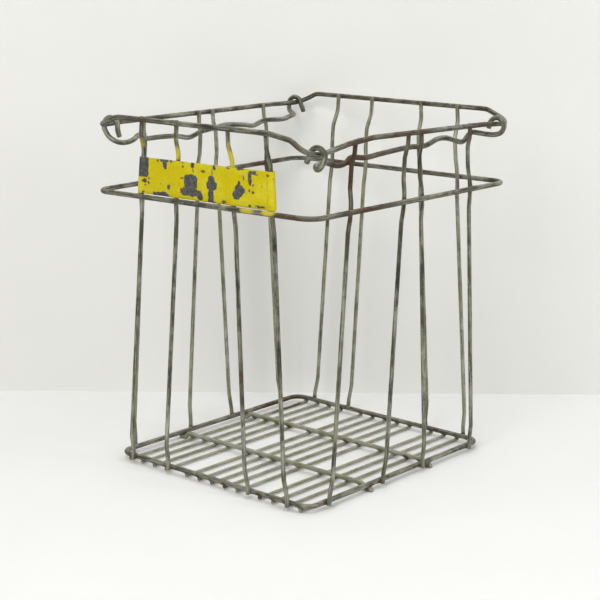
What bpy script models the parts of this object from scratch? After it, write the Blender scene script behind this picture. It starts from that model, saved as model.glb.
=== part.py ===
"""Wire milk bottle crate: a welded cage of galvanised wire with two free-swinging bail handles.

The crate stands on the ends of its two cross bars. +Z is up, the name plate faces -Y, and the
handles hang along the -X and +X sides. All lengths in the constants are millimetres.
"""

import math

import bmesh
import bpy
from mathutils import Matrix, Vector

MM = 0.001

# Wire gauges, as radii, and the gap that stands for a weld between two wires.
FRAME_R = 2.25
UPRIGHT_R = 1.9
FLOOR_R = 1.35
CROSS_R = 2.05
CROSS_SIDES = 8
HANDLE_R = 2.3
GAP = 0.3
# The most of a straight run that the bend at its end may use up.
BEND_SHARE = 0.8

# Half sizes in X and Y of the three rings, to the wire's centre line.
BASE_HALF = (113.4, 123.9)
HOOP_HALF = (125.8, 137.2)
RIM_HALF = (126.4, 141.2)
BASE_CORNER_R = 11.0
HOOP_CORNER_R = 14.0
RIM_CORNER_R = (24.0, 15.0, 16.0, 15.0)
RIM_BEND_R = 16.0

# Heights of the wire centres. The cross bars' ends rest on the ground, on their flattened undersides.
CROSS_FLAT = CROSS_R * math.cos(math.pi / CROSS_SIDES)
BASE_Z = 2 * CROSS_FLAT + GAP + FRAME_R
FLOOR_Z = BASE_Z - FRAME_R - GAP - FLOOR_R
CROSS_Z = FLOOR_Z + FLOOR_R + GAP + CROSS_R
HOOP_Z = 253.3
RIM_HIGH_Z = 318.0
RIM_LOW_Z = 309.3

# The rim is high along the front and back and low along the handle sides. Each side is a run of
# (place along the side, height), between corners that dip; the front right corner has sagged.
RIM_FRONT = ((-93.0, 317.8), (82.0, 318.0), (106.0, 314.4))
RIM_RIGHT = ((-92.0, 309.4), (-62.0, 311.6), (-18.0, 311.0), (95.0, 309.4))
RIM_BACK = ((99.0, 317.8), (-106.0, 318.0))
RIM_LEFT = ((100.0, 309.2), (-107.0, 308.2))
RIM_CORNERS = (306.2, 301.8, 306.8, 308.0)
# The middle hoop is level but for its front left corner. Corners run as the rim's do.
HOOP_DIPS = (-3.6, -0.5, 0.0, -0.4)

# Uprights: how far in from the corners they stand, along the side, at the base and at the top.
FRONT_POSTS = ((93.2, 71.2), (48.5, 29.3))
SIDE_POSTS = ((102.7, 80.0), (29.2, 8.5))
# How far each side's uprights have been pushed along that side at the top.
SWAY = {"front": 4.5, "back": -2.0, "left": -0.8, "right": 0.8}
BASE_KINK_Z = (13.0, 28.0)
HOOP_KINK_Z = (235.0, 246.5)
PLATE_TOP_KINK_Z = 291.0
NECK_KINK_Z = (259.5, 271.0, 290.0)
RIM_KINK_Z = 304.0
SIDE_RIM_KINK_DROP = 4.0
TIP_RISE = 2.0
POST_BEND_R = 12.0
BODY_HALF = (120.0, 131.4)
NECK_HALF = (119.4, 131.2)

# Floor: thin wires front to back in three groups, over which the two cross bars run.
FLOOR_PITCH = 15.3
FLOOR_GROUP_STEP = 26.0
FLOOR_SHIFT = 1.8
FLOOR_OVERHANG = 1.6
CROSS_Y = 43.5
CROSS_OVERHANG = 4.2
CROSS_JOGGLE = (4.0, 7.0)
CROSS_BEND_R = 4.0

# Name plate: folded sheet, rolled round the two outer front uprights.
PLATE_SHEET = 0.9
PLATE_HEIGHT = 31.6
PLATE_TILT = 0.011
PLATE_ROLL_R = 3.1
PLATE_SET_BACK = 1.2
PLATE_RIDGE_HALF = 5.0
PLATE_CREST_HALF = 2.0
PLATE_LIFT = 0.2
PLATE_ROLL_STEPS = 10

# Handles: open hooks round the rim's long sides, near its corners. Both have slid along the rim.
LEFT_HOOKS = (-119.5, 130.9)
RIGHT_HOOKS = (-130.9, 118.5)
HOOK_R = 7.2
HOOK_HANG = 1.6
HOOK_STEPS = 9
GRIP_IN = 12.0

# A hook's points are (along toward the other hook, inward from the pivot, height above it). The
# tail comes down inside the rim, and the neck comes up from under the rim to the grip.
NECK = ((1.5, -5.6, -5.6), (3.5, -0.6, -8.3), (7.5, 5.4, -9.0), (14.0, GRIP_IN - 1.4, -8.8))
SHALLOW_NECK = ((1.5, -5.6, -5.2), (3.5, -0.6, -7.6), (8.0, 5.2, -7.4), (14.0, 10.4, -6.0))
DEEP_NECK = ((0.5, -6.8, -4.4), (2.5, -3.2, -10.9), (6.5, 3.0, -15.0), (12.5, 8.8, -15.4))
LEANING_NECK = (
    (-1.4, -7.0, -3.4), (-3.2, -4.8, -8.4), (-0.8, 0.6, -10.0), (5.0, 6.4, -8.8), (14.0, 10.6, -8.8),
)
LEFT_HOOK_SHAPES = (
    (1.5, ((2.2, 8.0, -3.4), (4.6, 7.6, -10.0)), DEEP_NECK),
    (-0.8, ((-2.4, 8.4, -3.4), (-3.0, 9.4, -7.6)), NECK),
)
RIGHT_HOOK_SHAPES = (
    (-0.7, ((-2.2, 8.6, -3.2), (-2.8, 9.8, -6.0)), LEANING_NECK),
    (1.0, ((2.2, 8.0, -3.0),), SHALLOW_NECK),
)

# Each grip outline is (distance along from the front hook, height above the pivot line).
LEFT_GRIP = (
    (18, -13.0), (24, -9.6), (31, -13.4), (50, -13.8), (71, -14.8), (88, -17.6), (103, -13.8),
    (120, -12.0), (136, -10.2), (161, -12.2), (176, -14.2), (192, -10.6), (218, -11.6), (229, -9.6),
)
RIGHT_GRIP = (
    (23, -8.4), (38, -12.6), (49, -11.8), (56, -8.0), (75, -10.2), (96, -9.2), (133, -8.0),
    (156, -9.2), (174, -5.4), (187, -5.6), (200, -8.8), (213, -11.6), (225, -4.8),
)

ZINC = ("zinc_wire", (0.33, 0.33, 0.28), 0.5, 0.8)
PAINT = ("yellow_plate", (0.72, 0.62, 0.02), 0.45, 0.0)


def clear_scene():
    for obj in list(bpy.data.objects):
        bpy.data.objects.remove(obj, do_unlink=True)


def new_collection(name):
    collection = bpy.data.collections.new(name)
    bpy.context.scene.collection.children.link(collection)
    return collection


def material(name, colour, roughness, metallic):
    made = bpy.data.materials.new(name)
    made.use_nodes = True
    shader = made.node_tree.nodes["Principled BSDF"]
    shader.inputs["Base Color"].default_value = (*colour, 1.0)
    shader.inputs["Roughness"].default_value = roughness
    shader.inputs["Metallic"].default_value = metallic
    return made


def arc_at(before, corner, after, radius, steps):
    """Points of the round bend that replaces a corner, or the corner itself where it is straight."""
    to_before = (before - corner).normalized()
    to_after = (after - corner).normalized()
    turn = math.pi - to_before.angle(to_after)
    if turn < math.radians(1.0):
        return [corner]
    reach = radius * math.tan(turn / 2)
    reach = min(reach, BEND_SHARE * min((before - corner).length, (after - corner).length))
    radius = reach / math.tan(turn / 2)
    middle = corner + (to_before + to_after).normalized() * (radius / math.cos(turn / 2))
    start = corner + to_before * reach - middle
    end = corner + to_after * reach - middle
    return [middle + start.slerp(end, i / steps).normalized() * radius for i in range(steps + 1)]


def bent(points, radius, steps=3, closed=False):
    """The wire's centre line: a run of straight pieces with each corner rounded."""
    points = [Vector(p) for p in points]
    last = len(points) - 1
    line = []
    for i, point in enumerate(points):
        if not closed and i in (0, last):
            line.append(point)
            continue
        bend = radius[i] if isinstance(radius, (list, tuple)) else radius
        count = steps[i] if isinstance(steps, (list, tuple)) else steps
        line += arc_at(points[i - 1], point, points[(i + 1) % len(points)], bend, count)
    return line


def smooth_through(points, steps):
    """A Catmull-Rom curve through the points."""
    points = [Vector(p) for p in points]
    ends = [2 * points[0] - points[1]] + points + [2 * points[-1] - points[-2]]
    line = [points[0]]
    for a, b, c, d in zip(ends, ends[1:], ends[2:], ends[3:]):
        for i in range(1, steps + 1):
            t = i / steps
            line.append(
                0.5 * (2 * b + (c - a) * t + (2 * a - 5 * b + 4 * c - d) * t**2)
                + 0.5 * (3 * b - a - 3 * c + d) * t**3
            )
    return line


def wire(name, line, radius, look, collection, closed=False, sides=8, tilt=0.0):
    """A round wire along a centre line given in millimetres."""
    curve = bpy.data.curves.new(name, "CURVE")
    curve.dimensions = "3D"
    curve.twist_mode = "Z_UP" if tilt else "MINIMUM"
    curve.bevel_depth = radius * MM
    curve.bevel_resolution = (sides - 4) // 2
    curve.use_fill_caps = True
    spline = curve.splines.new("POLY")
    spline.points.add(len(line) - 1)
    for point, place in zip(spline.points, line):
        point.co = (*(place * MM), 1.0)
        point.tilt = tilt
    spline.use_cyclic_u = closed
    spline.use_smooth = True
    curve.materials.append(look)
    obj = bpy.data.objects.new(name, curve)
    collection.objects.link(obj)
    return obj


def ring_line(half, radius, height, dips=(0.0, 0.0, 0.0, 0.0)):
    x, y = half
    places = ((-x, -y), (x, -y), (x, y), (-x, y))
    corners = [(*place, height + dip) for place, dip in zip(places, dips)]
    return bent(corners, radius, steps=7, closed=True)


def rim_line():
    """The top ring, from the front left corner by way of the front, right, back and left sides."""
    x, y = RIM_HALF
    sides = (
        [(along, -y, height) for along, height in RIM_FRONT],
        [(x, along, height) for along, height in RIM_RIGHT],
        [(along, y, height) for along, height in RIM_BACK],
        [(-x, along, height) for along, height in RIM_LEFT],
    )
    places = ((-x, -y), (x, -y), (x, y), (-x, y))
    points, radii, steps = [], [], []
    for place, height, radius, side in zip(places, RIM_CORNERS, RIM_CORNER_R, sides):
        points += [(*place, height)] + side
        radii += [radius] + [RIM_BEND_R] * len(side)
        steps += [8] + [3] * len(side)
    return bent(points, radii, steps, closed=True)


def rim_centre_at(line, side, y):
    """Where the rim's wire centre is on one of its long sides, at this y."""
    closed = line + line[:1]
    for a, b in zip(closed, closed[1:]):
        on_side = min(side * a.x, side * b.x) > RIM_HALF[0] - min(RIM_CORNER_R)
        if on_side and min(a.y, b.y) <= y <= max(a.y, b.y) and a.y != b.y:
            return a.lerp(b, (y - a.y) / (b.y - a.y))
    raise ValueError(f"the rim has no wire at y {y}")


def post_offset(side, axis):
    """(height, distance out from the crate's middle) along one upright, from its foot to its tip."""
    reach = FRAME_R + GAP + UPRIGHT_R
    foot = BASE_HALF[axis] + reach
    hoop = HOOP_HALF[axis] - reach
    top = RIM_HALF[axis] - reach
    body = BODY_HALF[axis]
    neck = NECK_HALF[axis]
    rim_z = RIM_HIGH_Z if axis else RIM_LOW_Z
    steps = [
        (BASE_Z - FRAME_R, foot),
        (BASE_KINK_Z[0], foot),
        (BASE_KINK_Z[1], body),
        (HOOP_KINK_Z[0], body),
        (HOOP_KINK_Z[1], hoop),
    ]
    if side == "front":
        steps.append((PLATE_TOP_KINK_Z, hoop))
    else:
        steps += [(NECK_KINK_Z[0], hoop), (NECK_KINK_Z[1], neck), (NECK_KINK_Z[2], neck)]
    kink_z = RIM_KINK_Z if axis else RIM_KINK_Z - SIDE_RIM_KINK_DROP
    steps += [(kink_z, top), (rim_z + TIP_RISE, top)]
    return steps


def post_along(side, sign, span, height):
    """Where along its side an upright stands at this height: it leans in as it rises."""
    low, high = span
    rise = (height - BASE_Z) / (RIM_HIGH_Z - BASE_Z)
    return sign * (low + (high - low) * rise) + SWAY[side] * rise


def post_place(side, along, out, height):
    return {
        "front": (along, -out, height),
        "back": (along, out, height),
        "left": (-out, along, height),
        "right": (out, along, height),
    }[side]


def make_posts(look, collection):
    """Four uprights on each side, named in order from the left or the front end of that side."""
    for side in ("front", "back", "left", "right"):
        axis = 1 if side in ("front", "back") else 0
        outer, inner = FRONT_POSTS if axis else SIDE_POSTS
        for number, (span, sign) in enumerate(((outer, -1), (inner, -1), (inner, 1), (outer, 1)), 1):
            line = [
                post_place(side, post_along(side, sign, span, height), out, height)
                for height, out in post_offset(side, axis)
            ]
            wire(f"upright_{side}_{number}", bent(line, POST_BEND_R), UPRIGHT_R, look, collection)


def floor_places():
    """X of each floor wire: a group of five in the middle and four on each side."""
    middle = [i * FLOOR_PITCH for i in range(-2, 3)]
    first = middle[-1] + FLOOR_GROUP_STEP
    right = [first + i * FLOOR_PITCH for i in range(4)]
    return [x + FLOOR_SHIFT for x in [-x for x in reversed(right)] + middle + right]


def make_floor(look, collection):
    end = BASE_HALF[1] + FLOOR_OVERHANG
    for number, x in enumerate(floor_places(), 1):
        line = [Vector((x, -end, FLOOR_Z)), Vector((x, end, FLOOR_Z))]
        wire(f"floor_wire_{number:02d}", line, FLOOR_R, look, collection)
    edge = BASE_HALF[0]
    tip = edge + CROSS_OVERHANG
    for name, y in (("front", -CROSS_Y), ("back", CROSS_Y)):
        half = [(tip, CROSS_FLAT), (edge - CROSS_JOGGLE[0], CROSS_FLAT), (edge - CROSS_JOGGLE[1], CROSS_Z)]
        line = [(-x, y, z) for x, z in half] + [(x, y, z) for x, z in reversed(half)]
        wire(
            f"cross_bar_{name}", bent(line, CROSS_BEND_R), CROSS_R, look, collection,
            tilt=math.pi / CROSS_SIDES, sides=CROSS_SIDES,
        )


def plate_half(sign, height):
    """One half of the sheet's middle line in plan at this height, from its rolled end inward."""
    out = HOOP_HALF[1] - FRAME_R - GAP - UPRIGHT_R
    outer = post_along("front", sign, FRONT_POSTS[0], height)
    inner = post_along("front", sign, FRONT_POSTS[1], height)
    flat_y = -out - PLATE_ROLL_R + PLATE_SET_BACK
    ridge_y = -out - UPRIGHT_R - GAP - PLATE_SHEET / 2
    # The roll starts behind the upright, goes round its far side and ends where it meets the flat.
    first = math.radians(60.0)
    last = 1.5 * math.pi + math.acos((PLATE_ROLL_R - PLATE_SET_BACK) / PLATE_ROLL_R)
    line = []
    for i in range(PLATE_ROLL_STEPS + 1):
        angle = first + (last - first) * i / PLATE_ROLL_STEPS
        across = PLATE_ROLL_R * math.cos(angle)
        line.append((outer - sign * across, -out + PLATE_ROLL_R * math.sin(angle)))
    foot, crest = PLATE_RIDGE_HALF, PLATE_CREST_HALF
    for offset in (-foot, -crest, 0.0, crest, foot):
        level = flat_y if abs(offset) == foot else ridge_y
        line.append((inner - sign * offset, level))
    return line


def plate_outline(height):
    return plate_half(-1, height) + plate_half(1, height)[::-1]


def sheet_sides(outline, thickness):
    """The two faces of the sheet, half its thickness to each side of the middle line."""
    points = [Vector(p) for p in outline]
    left, right = [], []
    for i, point in enumerate(points):
        before = points[max(i - 1, 0)]
        after = points[min(i + 1, len(points) - 1)]
        along_in = (point - before).normalized() if point != before else (after - point).normalized()
        along_out = (after - point).normalized() if after != point else along_in
        along = (along_in + along_out).normalized()
        across = Vector((-along.y, along.x)) * (thickness / 2 / max(along.dot(along_out), 0.5))
        left.append(point + across)
        right.append(point - across)
    return left, right


def make_plate(look, collection):
    left_end = HOOP_Z + HOOP_DIPS[0] + FRAME_R + GAP
    bottom = left_end + PLATE_TILT * HOOP_HALF[0] + PLATE_LIFT
    loops = []
    for height in (bottom, bottom + PLATE_HEIGHT):
        left, right = sheet_sides(plate_outline(height), PLATE_SHEET)
        outline = left + right[::-1]
        loops.append([(p.x * MM, p.y * MM, (height + PLATE_TILT * p.x) * MM) for p in outline])
    mesh = bpy.data.meshes.new("name_plate")
    shape = bmesh.new()
    low, high = ([shape.verts.new(p) for p in loop] for loop in loops)
    count = len(low)
    for i in range(count):
        after = (i + 1) % count
        shape.faces.new((low[i], low[after], high[after], high[i]))
    # Both edges of the sheet are strips of four-sided faces between its two sides.
    for i in range(count // 2 - 1):
        mate = count - 1 - i
        shape.faces.new((low[i], low[mate], low[mate - 1], low[i + 1]))
        shape.faces.new((high[i], high[i + 1], high[mate - 1], high[mate]))
    bmesh.ops.recalc_face_normals(shape, faces=shape.faces)
    shape.to_mesh(mesh)
    shape.free()
    mesh.materials.append(look)
    obj = bpy.data.objects.new("name_plate", mesh)
    collection.objects.link(obj)
    return obj


def hook_line(lean, tail, neck):
    """One hook from its tail's end to its neck: over the rim and down its outer side."""
    line = list(reversed(tail))
    for i in range(HOOK_STEPS + 1):
        angle = math.pi * i / HOOK_STEPS
        across = HOOK_R * math.cos(angle)
        line.append((lean * (1 + math.cos(angle)), across, HOOK_R * math.sin(angle)))
    return line + list(neck)


def make_handle(name, side, rim, hooks, shapes, grip, look, collection):
    """A bail whose origin is the middle of the line through its two hooks, with local Y along it."""
    ends = [rim_centre_at(rim, side, y) - Vector((0, 0, HOOK_HANG)) for y in hooks]
    length = (ends[1] - ends[0]).length
    front = hook_line(*shapes[0])
    back = [(length - x, y, z) for x, y, z in reversed(hook_line(*shapes[1]))]
    line = front + [(x, GRIP_IN, z) for x, z in grip] + back
    local = [Vector((-side * y, x - length / 2, z)) for x, y, z in line]
    obj = wire(name, smooth_through(local, 3), HANDLE_R, look, collection, sides=12)
    along = (ends[1] - ends[0]).normalized()
    up = (Vector((0, 0, 1)) - along * along.z).normalized()
    turn = Matrix((along.cross(up), along, up)).transposed()
    obj.matrix_world = Matrix.Translation((ends[0] + ends[1]) / 2 * MM) @ turn.to_4x4()
    return obj


def main():
    clear_scene()
    crate = new_collection("milk_bottle_crate")
    zinc = material(*ZINC)
    rim = rim_line()
    wire("top_rim", rim, FRAME_R, zinc, crate, closed=True, sides=12)
    hoop = ring_line(HOOP_HALF, HOOP_CORNER_R, HOOP_Z, HOOP_DIPS)
    wire("middle_hoop", hoop, FRAME_R, zinc, crate, closed=True, sides=12)
    base = ring_line(BASE_HALF, BASE_CORNER_R, BASE_Z)
    wire("base_frame", base, FRAME_R, zinc, crate, closed=True, sides=12)
    make_posts(zinc, crate)
    make_floor(zinc, crate)
    make_plate(material(*PAINT), crate)
    left = (LEFT_HOOKS, LEFT_HOOK_SHAPES, LEFT_GRIP)
    right = (RIGHT_HOOKS, RIGHT_HOOK_SHAPES, RIGHT_GRIP)
    make_handle("handle_left", -1, rim, *left, zinc, crate)
    make_handle("handle_right", 1, rim, *right, zinc, crate)


if __name__ == "__main__":
    main()
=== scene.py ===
"""Wire milk bottle crate: weathered zinc wires, a chipped yellow name plate and a plain studio.

Each wire is swept along its own centre line, with pitted skin and a weld at every crossing, and
stands for the solid of the same name. Lengths in the constants are millimetres; +Z is up, the
name plate faces -Y and the handles hang along the -X and +X sides.
"""

import functools
import math

import bpy
import numpy as np
from bpy.props import FloatProperty, FloatVectorProperty, IntProperty, PointerProperty
from mathutils import Matrix, Vector, noise


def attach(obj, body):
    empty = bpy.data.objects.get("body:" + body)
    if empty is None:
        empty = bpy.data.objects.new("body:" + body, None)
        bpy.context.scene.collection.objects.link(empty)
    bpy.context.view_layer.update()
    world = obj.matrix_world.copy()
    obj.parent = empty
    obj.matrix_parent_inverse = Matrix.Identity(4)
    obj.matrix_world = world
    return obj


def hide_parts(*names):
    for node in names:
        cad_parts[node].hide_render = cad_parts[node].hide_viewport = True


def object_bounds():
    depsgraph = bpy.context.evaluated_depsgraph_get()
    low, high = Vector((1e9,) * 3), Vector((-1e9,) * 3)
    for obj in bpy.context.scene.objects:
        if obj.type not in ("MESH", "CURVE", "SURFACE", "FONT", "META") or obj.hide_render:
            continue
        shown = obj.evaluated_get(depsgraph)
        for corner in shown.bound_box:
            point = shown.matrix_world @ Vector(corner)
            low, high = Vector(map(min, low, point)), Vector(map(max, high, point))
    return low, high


bl_info = {
    "name": "Milk Bottle Crate",
    "version": (1, 0, 0),
    "blender": (4, 5, 0),
    "location": "3D View > Sidebar > Milk Crate",
    "description": "Builds a weathered wire crate for milk bottles and a studio to show it in",
    "category": "Add Mesh",
}

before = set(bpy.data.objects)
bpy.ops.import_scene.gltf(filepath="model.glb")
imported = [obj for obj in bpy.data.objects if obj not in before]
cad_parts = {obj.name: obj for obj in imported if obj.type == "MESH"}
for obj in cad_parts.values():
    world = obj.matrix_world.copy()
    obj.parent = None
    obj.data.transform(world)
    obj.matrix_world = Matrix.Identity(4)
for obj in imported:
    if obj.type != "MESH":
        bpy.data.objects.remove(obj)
CAD_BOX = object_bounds()

MM = 0.001
GAP = 0.3
# The share of a straight piece that a bend at its end may take up.
BEND_SHARE = 0.8

# Half sizes in X and Y of the three rings, to the wire's centre line, and their corner radii.
BASE_HALF = (113.4, 123.9)
HOOP_HALF = (125.8, 137.2)
RIM_HALF = (126.4, 141.2)
BASE_CORNER_R = 11.0
HOOP_CORNER_R = 14.0
RIM_CORNER_R = (24.0, 15.0, 16.0, 15.0)
RIM_BEND_R = 16.0

# Wire radii, by the kind of wire, and the heights that follow from them.
FRAME_R = 2.25
UPRIGHT_R = 1.9
FLOOR_R = 1.35
CROSS_R = 2.05
HANDLE_R = 2.3
CROSS_FLAT = CROSS_R * math.cos(math.pi / 8)
BASE_Z = 2 * CROSS_FLAT + GAP + FRAME_R
FLOOR_Z = BASE_Z - FRAME_R - GAP - FLOOR_R
CROSS_Z = FLOOR_Z + FLOOR_R + GAP + CROSS_R
HOOP_Z = 253.3
RIM_HIGH_Z = 318.0
RIM_LOW_Z = 309.3

# The rim's runs of (place along the side, height) between corners that dip.
RIM_FRONT = ((-93.0, 317.8), (82.0, 318.0), (106.0, 314.4))
RIM_RIGHT = ((-92.0, 309.4), (-62.0, 311.6), (-18.0, 311.0), (95.0, 309.4))
RIM_BACK = ((99.0, 317.8), (-106.0, 318.0))
RIM_LEFT = ((100.0, 309.2), (-107.0, 308.2))
RIM_CORNERS = (306.2, 301.8, 306.8, 308.0)
HOOP_DIPS = (-3.6, -0.5, 0.0, -0.4)

# Uprights: places along the side at the base and at the top, the sway of each side, the bends.
FRONT_POSTS = ((93.2, 71.2), (48.5, 29.3))
SIDE_POSTS = ((102.7, 80.0), (29.2, 8.5))
SWAY = {"front": 4.5, "back": -2.0, "left": -0.8, "right": 0.8}
BASE_KINK_Z = (13.0, 28.0)
HOOP_KINK_Z = (235.0, 246.5)
PLATE_TOP_KINK_Z = 291.0
NECK_KINK_Z = (259.5, 271.0, 290.0)
RIM_KINK_Z = 304.0
SIDE_RIM_KINK_DROP = 4.0
TIP_RISE = 2.0
POST_BEND_R = 12.0
BODY_HALF = (120.0, 131.4)
NECK_HALF = (119.4, 131.2)

# Floor wires in groups of four, five and four, and the two bars over them.
FLOOR_PITCH = 15.3
FLOOR_GROUP_STEP = 26.0
FLOOR_SHIFT = 1.8
FLOOR_OVERHANG = 1.6
CROSS_Y = 43.5
CROSS_OVERHANG = 4.2
CROSS_JOGGLE = (4.0, 7.0)
CROSS_BEND_R = 4.0

# Name plate: folded sheet, rolled round the two outer front uprights.
PLATE_SHEET = 0.9
PLATE_HEIGHT = 31.6
PLATE_TILT = 0.011
PLATE_LIFT = 0.2
PLATE_ROLL_R = 3.1
PLATE_SET_BACK = 1.2
PLATE_RIDGE_HALF = 5.0
PLATE_ROLL_STEPS = 22
PLATE_CELL = 0.7
PLATE_HALF_CELLS = 110
PLATE_CREST = 1.2
PLATE_ROLL_START = 60.0
PLATE_DENT = 0.28
PLATE_DENT_SPAN = 14.0
PLATE_EDGE_WAVE = 0.3
PLATE_EDGE_SPAN = 8.0
PAINT_THICKNESS = 0.14
CHIP_SPAN = 2.6
CHIP_WANDER = (0.006, 0.03)
CHIP_SOFTNESS = 1.6
MARKED_LENGTH = 156.0
FAR_OUTSIDE = -9.0

# Handles: where their hooks sit along the rim, and the lines of hooks and grips.
LEFT_HOOKS = (-119.5, 130.9)
RIGHT_HOOKS = (-130.9, 118.5)
HOOK_R = 7.2
HOOK_HANG = 1.6
HOOK_STEPS = 9
GRIP_IN = 12.0
NECK = ((1.5, -5.6, -5.6), (3.5, -0.6, -8.3), (7.5, 5.4, -9.0), (14.0, GRIP_IN - 1.4, -8.8))
SHALLOW_NECK = ((1.5, -5.6, -5.2), (3.5, -0.6, -7.6), (8.0, 5.2, -7.4), (14.0, 10.4, -6.0))
DEEP_NECK = ((0.5, -6.8, -4.4), (2.5, -3.2, -10.9), (6.5, 3.0, -15.0), (12.5, 8.8, -15.4))
LEANING_NECK = (
    (-1.4, -7.0, -3.4), (-3.2, -4.8, -8.4), (-0.8, 0.6, -10.0), (5.0, 6.4, -8.8),
    (14.0, 10.6, -8.8),
)
LEFT_HOOK_SHAPES = (
    (1.5, ((2.2, 8.0, -3.4), (4.6, 7.6, -10.0)), DEEP_NECK),
    (-0.8, ((-2.4, 8.4, -3.4), (-3.0, 9.4, -7.6)), NECK),
)
RIGHT_HOOK_SHAPES = (
    (-0.7, ((-2.2, 8.6, -3.2), (-2.8, 9.8, -6.0)), LEANING_NECK),
    (1.0, ((2.2, 8.0, -3.0),), SHALLOW_NECK),
)
LEFT_GRIP = (
    (18, -13.0), (24, -9.6), (31, -13.4), (50, -13.8), (71, -14.8), (88, -17.6), (103, -13.8),
    (120, -12.0), (136, -10.2), (161, -12.2), (176, -14.2), (192, -10.6), (218, -11.6), (229, -9.6),
)
RIGHT_GRIP = (
    (23, -8.4), (38, -12.6), (49, -11.8), (56, -8.0), (75, -10.2), (96, -9.2), (133, -8.0),
    (156, -9.2), (174, -5.4), (187, -5.6), (200, -8.8), (213, -11.6), (225, -4.8),
)

# A cut wire's end: (how far past the last full ring, share of the radius), both in radii.
CUT_END = ((0.16, 0.95), (0.30, 0.80), (0.38, 0.5))
CUT_TIP = 0.4

# Skin: how near two wires are welded, how far apart welds are, and sizes of hollows and streaks.
WELD_REACH = 0.8
WELD_SPACING = 5.0
WELD_MARK = 3.4
WELD_SIZE_SPAN = 7.3
WELD_RUST = 4.5
WELD_RUST_SPAN = 5.7
COARSE_PITS = 3.1
FINE_PITS = 1.1
STREAK_LENGTH = 42.0
STREAK_SHIFT = 40.0
STREAK_SHIFT_SPAN = 9.7

# Rusted stretches: (place, how far the rust spreads, how strong it is).
RUST_STRETCHES = (
    ((121, -81, 292), 24, 0.75),
    ((106, -140, 310), 16, 0.3),
    ((112, -78, 298), 16, 0.7),
    ((96, -137, 253), 30, 0.35),
    ((-113, 96, 6), 26, 0.9),
    ((-118, 60, 40), 22, 0.5),
    ((-60, 137, 253), 30, 0.45),
    ((-125, 84, 253), 24, 0.55),
    ((60, 128, 20), 30, 0.4),
    ((126, 90, 308), 24, 0.35),
    ((126, -20, 311), 60, 0.3),
    ((-70, -141, 318), 40, 0.3),
    ((118, -70, 253), 50, 0.35),
    ((40, -136, 110), 45, 0.3),
)
# Yellow overspray on the wires: (place, how far it spreads, how strong it is).
OVERSPRAY = (
    ((-29, -137, 292), 11, 1),
    ((-28, -137, 304), 9, 0.7),
    ((36, -137, 292), 11, 1),
    ((37, -137, 304), 8, 0.6),
    ((-68, -137, 297), 11, 0.7),
    ((30, -138, 256.5), 12, 0.62),
    ((56, -138, 256.5), 14, 0.85),
    ((80, -138, 256.5), 12, 0.9),
    ((-70, -136, 248), 7, 0.6),
    ((48, -130, 42), 13, 0.5),
)
# Chips in the paint: along from the left end, up from the bottom edge, half length and half
# height, as shares of the plate's length and height. A fifth number is for a squarer outline.
CHIPS = (
    (0.033, 0.79, 0.046, 0.33, 6), (0.05, 0.36, 0.012, 0.035), (0.085, 0.43, 0.007, 0.05),
    (0.083, 0.31, 0.011, 0.03), (0.06, 0.24, 0.006, 0.02), (0.044, 0.05, 0.01, 0.03),
    (0.203, 0.98, 0.032, 0.06, 4), (0.208, 0.88, 0.018, 0.11), (0.211, 0.8, 0.01, 0.07),
    (0.15, 0.95, 0.008, 0.03), (0.256, 0.98, 0.013, 0.04), (0.344, 0.97, 0.006, 0.03),
    (0.346, 0.86, 0.007, 0.03), (0.42, 0.94, 0.013, 0.08), (0.423, 0.78, 0.003, 0.12),
    (0.407, 0.49, 0.051, 0.19, 5), (0.4, 0.21, 0.066, 0.12, 2.5), (0.462, 0.19, 0.034, 0.09),
    (0.478, 0.11, 0.02, 0.09), (0.352, 0.19, 0.02, 0.05), (0.343, 0.56, 0.014, 0.02),
    (0.241, 0.27, 0.013, 0.075), (0.278, 0.36, 0.006, 0.02), (0.183, 0.02, 0.062, 0.07, 3),
    (0.205, 0.07, 0.03, 0.05), (0.566, 0.46, 0.038, 0.12, 3), (0.562, 0.61, 0.025, 0.11, 2.5),
    (0.56, 0.16, 0.02, 0.2, 6), (0.56, 0, 0.03, 0.05, 3), (0.568, 0.78, 0.003, 0.12),
    (0.585, 0.94, 0.012, 0.06), (0.766, 0.41, 0.034, 0.17, 1.8), (0.745, 0.29, 0.028, 0.12),
    (0.79, 0.43, 0.018, 0.08), (0.766, 0.59, 0.011, 0.09), (0.775, 0.99, 0.03, 0.035, 3),
    (0.862, 0.92, 0.03, 0.05, 3), (0.842, 0.77, 0.013, 0.15, 2.5), (0.897, 0.89, 0.008, 0.03),
    (0.867, 0.6, 0.009, 0.03), (0.798, 0.76, 0.005, 0.08), (0.837, 0.44, 0.008, 0.03),
    (0.863, 0.41, 0.009, 0.03), (0.912, 0.065, 0.035, 0.025, 4), (0.837, 0.045, 0.012, 0.03),
)
# Rusty marks in the paint, given as the chips are.
RUST_MARKS = (
    (0.693, 0.97, 0.02, 0.03), (0.655, 0.07, 0.02, 0.05), (0.05, 0.36, 0.02, 0.06),
    (0.346, 0.86, 0.009, 0.04), (0.42, 0.91, 0.015, 0.07), (0.842, 0.62, 0.012, 0.05),
    (0.5, 0.8, 0.02, 0.04), (0.09, 0.3, 0.01, 0.04), (0.975, 0.9, 0.012, 0.05),
)

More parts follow.
